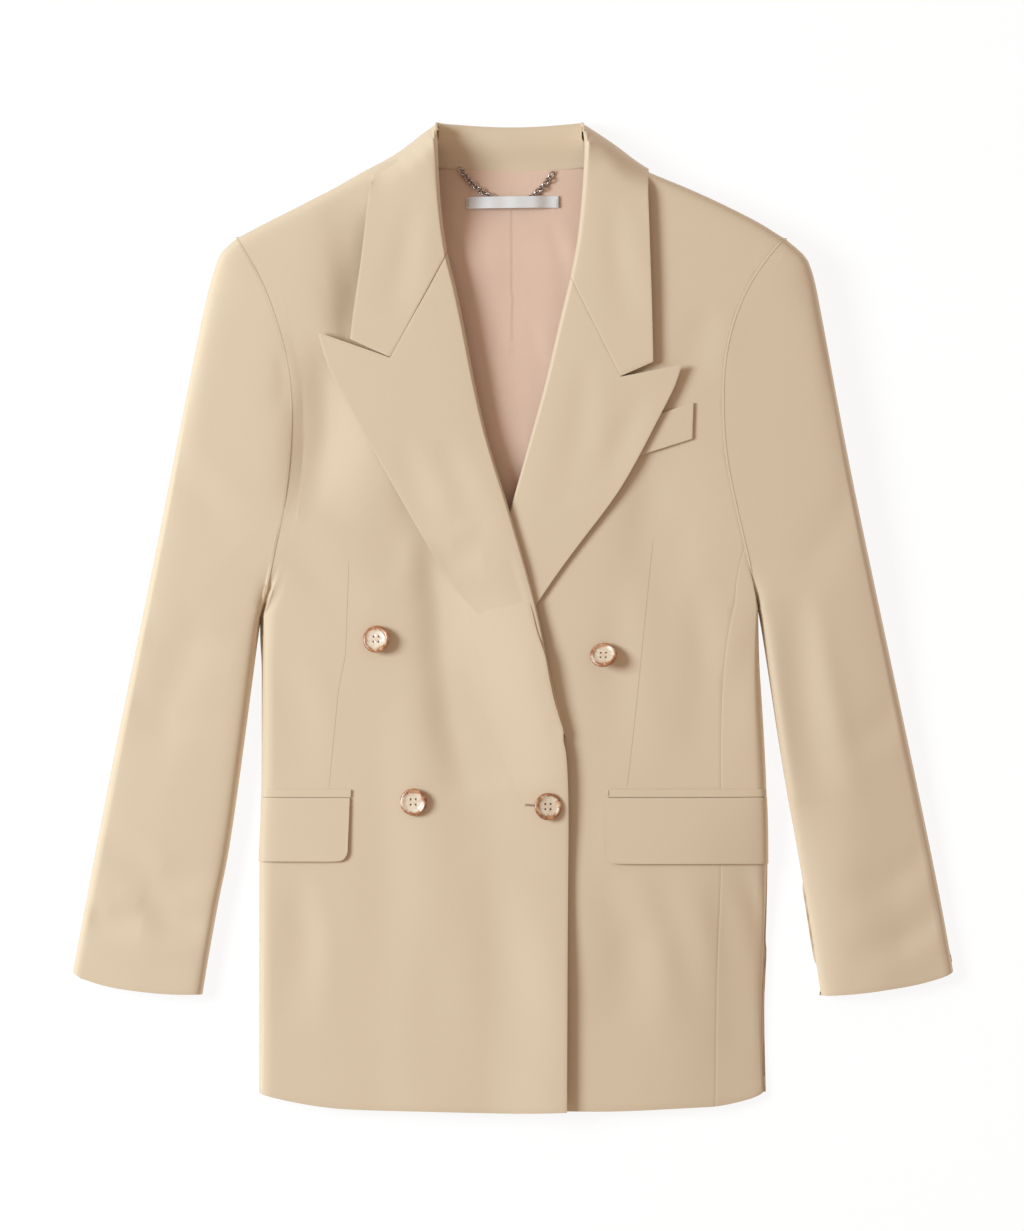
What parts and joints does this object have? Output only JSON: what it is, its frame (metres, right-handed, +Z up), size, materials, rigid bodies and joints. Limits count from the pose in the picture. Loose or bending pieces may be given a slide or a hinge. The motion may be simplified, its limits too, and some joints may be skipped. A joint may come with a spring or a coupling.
{
  "type": "double breasted blazer",
  "caption": "Double breasted blazer laid flat on its back, with peak lapels, hip pocket flaps, a breast welt and a back lining seen in the open neck.",
  "frame": {"origin": "on the resting plane, under the middle of the laid garment's bounding box", "axes": "+X from the wearer's right sleeve to the left sleeve, +Y from hem to collar, +Z up from the surface, away from the back and out of the front"},
  "size_m": [0.74, 0.8314, 0.0451],
  "materials": {
    "wool": "fine matt twill, warm beige",
    "lining": "smooth pinkish beige lining with a soft sheen",
    "label": "bare pale grey satin",
    "horn": "polished horn look, cream middle and mottled brown rim",
    "chain": "dark gunmetal"
  },
  "bodies": {
    "root": {"back_right": "wool", "back_left": "wool", "side_right": "wool", "side_left": "wool", "front_right": "wool", "front_left": "wool", "sleeve_upper_right": "wool", "sleeve_under_right": "wool", "sleeve_upper_left": "wool", "sleeve_under_left": "wool", "collar_fall": "wool", "collar_band": "wool", "lapel_right": "wool", "lapel_left": "wool", "pocket_jet_right": "wool", "pocket_jet_left": "wool", "pocket_flap_right": "wool", "pocket_flap_left": "wool", "breast_welt": "wool", "back_lining": "lining", "neck_label": "label", "hanger_chain": "chain", "button_upper_right": "horn", "button_upper_left": "horn", "button_lower_right": "horn", "button_lower_left": "horn"}
  },
  "joints": []
}
